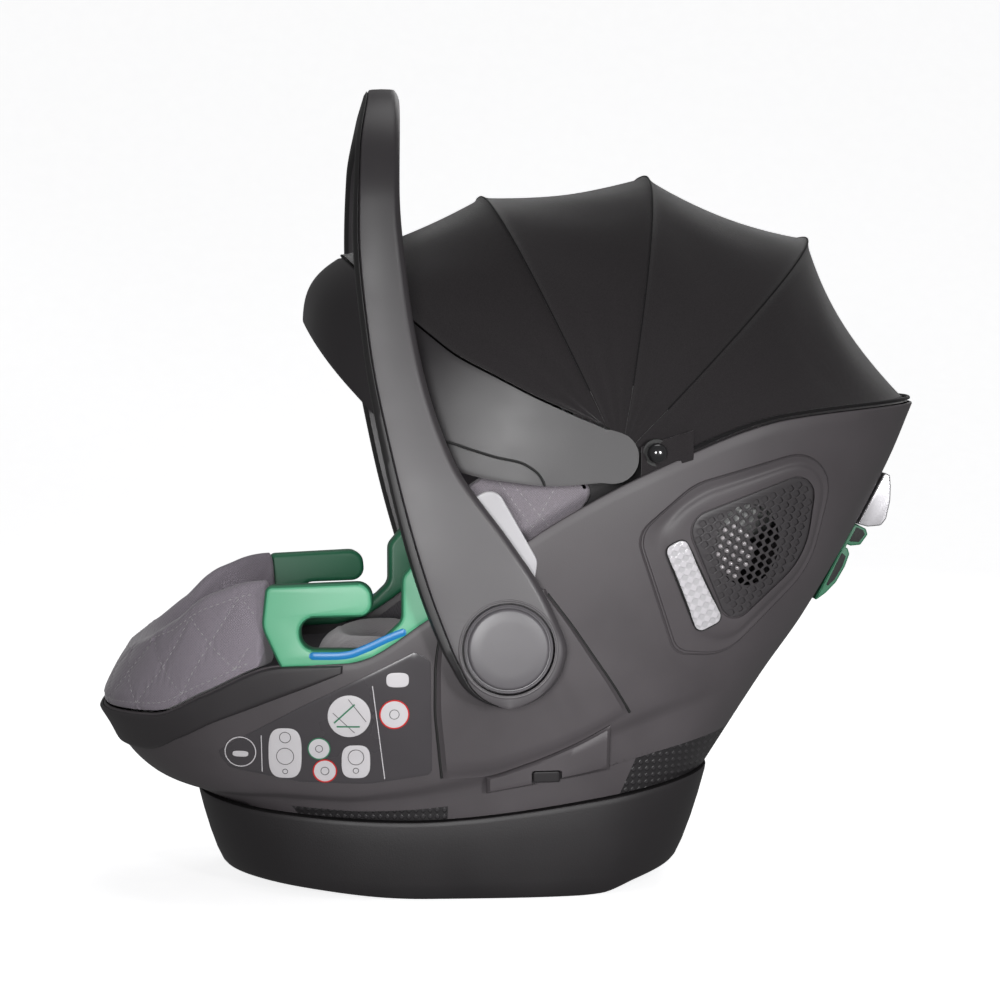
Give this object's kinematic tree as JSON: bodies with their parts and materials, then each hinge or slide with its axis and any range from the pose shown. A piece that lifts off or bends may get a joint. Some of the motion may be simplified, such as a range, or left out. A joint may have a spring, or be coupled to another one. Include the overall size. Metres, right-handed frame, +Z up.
{
  "type": "infant car seat",
  "caption": "Rear-facing infant car seat: a bucket shell on a curved rocker, with a swinging carry handle, a folding canopy with a rigid visor, belt guides, quilted lining and a harness.",
  "frame": {"origin": "on the floor, under the middle of the seat's outer box", "axes": "+X points to the head end, +Z up, -Y is the seated child's left"},
  "size_m": [0.6766, 0.4448, 0.644],
  "materials": {
    "shell_plastic": "fine-grained moulded charcoal, nearly black",
    "base_plastic": "black moulded plastic, slightly rougher than the shell",
    "handle_plastic": "satin charcoal with polished edges",
    "knob_plastic": "glossy black",
    "visor_plastic": "satin dark grey",
    "white_plastic": "smooth pale grey-white",
    "reflector_plastic": "pale prismatic reflector",
    "green_plastic": "satin green",
    "red_plastic": "smooth red",
    "silver_plastic": "silver-painted plastic",
    "steel": "bright drawn steel",
    "foam": "white bead foam",
    "canopy_fabric": "black plain-weave polyester",
    "grey_fabric": "grey quilted knit with dashed stitching",
    "insert_fabric": "soft light grey jersey",
    "webbing": "black woven polyester webbing"
  },
  "bodies": {
    "seat": {"adapter_socket_left": "shell_plastic", "adapter_socket_right": "shell_plastic", "belt_guide_left": "green_plastic", "belt_guide_right": "green_plastic", "buckle": "handle_plastic", "canopy_knob_left": "knob_plastic", "canopy_knob_right": "knob_plastic", "canopy_panel_back": "canopy_fabric", "crotch_strap": "webbing", "foam_liner": "foam", "foot_bumper": "shell_plastic", "foot_cover": "grey_fabric", "handle_axle_left": "steel", "handle_axle_right": "steel", "harness_strap_left": "webbing", "harness_strap_right": "webbing", "infant_insert": "insert_fabric", "reflector_left": "reflector_plastic", "reflector_right": "reflector_plastic", "rocker_base": "base_plastic", "screw_foot_left": "steel", "screw_foot_right": "steel", "screw_head_left": "steel", "screw_head_right": "steel", "seat_cover": "grey_fabric", "shell": "shell_plastic", "shoulder_belt_guide": "green_plastic", "shoulder_pad_left": "grey_fabric", "shoulder_pad_right": "grey_fabric", "side_cover_left": "shell_plastic", "side_cover_right": "shell_plastic", "side_plate_left": "white_plastic", "side_plate_right": "white_plastic", "vent_grille_left": "base_plastic", "vent_grille_right": "base_plastic", "vent_panel_left": "shell_plastic", "vent_panel_right": "shell_plastic"},
    "handle": {"handle": "handle_plastic", "button_spring_left": "steel", "button_spring_right": "steel"},
    "handle_button_left": {"handle_button_left": "handle_plastic"},
    "handle_button_right": {"handle_button_right": "handle_plastic"},
    "canopy_rear": {"canopy_bow_rear": "steel", "canopy_panel_rear": "canopy_fabric"},
    "canopy_middle": {"canopy_bow_middle": "steel", "canopy_panel_middle": "canopy_fabric"},
    "canopy_front": {"canopy_bow_front": "steel", "canopy_panel_front": "canopy_fabric"},
    "canopy_visor": {"canopy_visor": "visor_plastic"},
    "headrest": {"headrest_shell": "base_plastic", "headrest_pad": "grey_fabric"},
    "buckle_button": {"buckle_button": "red_plastic"},
    "release_lever": {"release_lever": "silver_plastic"},
    "adapter_latch_left": {"adapter_latch_left": "base_plastic"},
    "adapter_latch_right": {"adapter_latch_right": "base_plastic"}
  },
  "joints": [
    {"name": "handle_rotation", "type": "hinge", "parent": "seat", "child": "handle", "pos_m": [-0.013, 0, 0.208], "axis": [0, 1, 0], "range_deg": [-75, 125]},
    {"name": "handle_button_left_press", "type": "slide", "parent": "handle", "child": "handle_button_left", "axis": [0, 1, 0], "range_m": [0, 0.0045], "stiffness_N_per_m": 600, "springref_m": -0.004, "deforming": ["button_spring_left"]},
    {"name": "handle_button_right_press", "type": "slide", "parent": "handle", "child": "handle_button_right", "axis": [0, -1, 0], "range_m": [0, 0.0045], "stiffness_N_per_m": 600, "springref_m": -0.004, "deforming": ["button_spring_right"]},
    {"name": "canopy_rear_fold", "type": "hinge", "parent": "seat", "child": "canopy_rear", "pos_m": [0.078, 0, 0.354], "axis": [0, 1, 0], "range_deg": [0, 22], "deforming": ["canopy_panel_back"]},
    {"name": "canopy_middle_fold", "type": "hinge", "parent": "canopy_rear", "child": "canopy_middle", "pos_m": [0.078, 0, 0.354], "axis": [0, 1, 0], "range_deg": [0, 22], "deforming": ["canopy_panel_rear"]},
    {"name": "canopy_front_fold", "type": "hinge", "parent": "canopy_middle", "child": "canopy_front", "pos_m": [0.078, 0, 0.354], "axis": [0, 1, 0], "range_deg": [0, 22], "deforming": ["canopy_panel_middle"]},
    {"name": "canopy_visor_fold", "type": "hinge", "parent": "canopy_front", "child": "canopy_visor", "pos_m": [0.078, 0, 0.354], "axis": [0, 1, 0], "range_deg": [0, 22], "deforming": ["canopy_panel_front"]},
    {"name": "headrest_slide", "type": "slide", "parent": "seat", "child": "headrest", "axis": [0.8241, 0, 0.5664], "range_m": [0, 0.05]},
    {"name": "buckle_button_press", "type": "slide", "parent": "seat", "child": "buckle_button", "axis": [0, 0, -1], "range_m": [0, 0.0035], "stiffness_N_per_m": 900, "springref_m": -0.003},
    {"name": "release_lever_pull", "type": "slide", "parent": "seat", "child": "release_lever", "axis": [0.4631, 0, 0.8863], "range_m": [0, 0.012], "stiffness_N_per_m": 400, "springref_m": -0.01},
    {"name": "adapter_latch_left_slide", "type": "slide", "parent": "seat", "child": "adapter_latch_left", "axis": [0, 1, 0], "range_m": [0, 0.004]},
    {"name": "adapter_latch_right_slide", "type": "slide", "parent": "seat", "child": "adapter_latch_right", "axis": [0, -1, 0], "range_m": [0, 0.004]}
  ],
  "couplings": [
    {"joint": "canopy_middle_fold", "follows": "canopy_rear_fold", "ratio": 1},
    {"joint": "canopy_front_fold", "follows": "canopy_rear_fold", "ratio": 1},
    {"joint": "canopy_visor_fold", "follows": "canopy_rear_fold", "ratio": 1},
    {"joint": "adapter_latch_left_slide", "follows": "release_lever_pull", "ratio": 0.3333},
    {"joint": "adapter_latch_right_slide", "follows": "release_lever_pull", "ratio": 0.3333}
  ]
}
